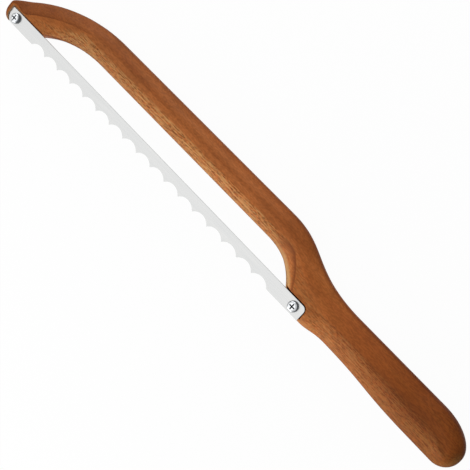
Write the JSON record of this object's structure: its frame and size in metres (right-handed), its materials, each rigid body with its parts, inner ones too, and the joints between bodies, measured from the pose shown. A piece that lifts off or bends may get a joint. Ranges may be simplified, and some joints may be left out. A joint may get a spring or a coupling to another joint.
{
  "type": "bow bagel slicer",
  "caption": "Wooden fiddle-bow bread knife with a straight grip; a thin scalloped steel blade is screwed across the bow in shallow rebates to slice bagels and loaves evenly.",
  "frame": {"origin": "under the middle of the bounding box, on the flat back that the slicer lies on", "axes": "+X from the tip to the butt of the handle, +Y from the cutting edge to the spine, +Z out of the face that carries the blade"},
  "size_m": [0.402, 0.0434, 0.0173],
  "materials": {
    "oiled_wood": "reddish-brown stained and oiled hardwood, satin, with rounded long edges",
    "blade_steel": "thin stainless strip, fine lengthwise brush, ground scallops",
    "screw_steel": "bright plated cross-recess pan-head screws"
  },
  "bodies": {
    "frame": {"bow_frame": "oiled_wood"},
    "blade": {"blade": "blade_steel"},
    "tip_screw": {"tip_screw": "screw_steel"},
    "handle_screw": {"handle_screw": "screw_steel"}
  },
  "joints": [
    {"name": "blade_lift", "type": "slide", "parent": "frame", "child": "blade", "axis": [0, 0, 1], "range_m": [0, 0.012]},
    {"name": "tip_screw_out", "type": "slide", "parent": "blade", "child": "tip_screw", "axis": [0, 0, 1], "range_m": [0, 0.0105]},
    {"name": "handle_screw_out", "type": "slide", "parent": "blade", "child": "handle_screw", "axis": [0, 0, 1], "range_m": [0, 0.0105]}
  ]
}
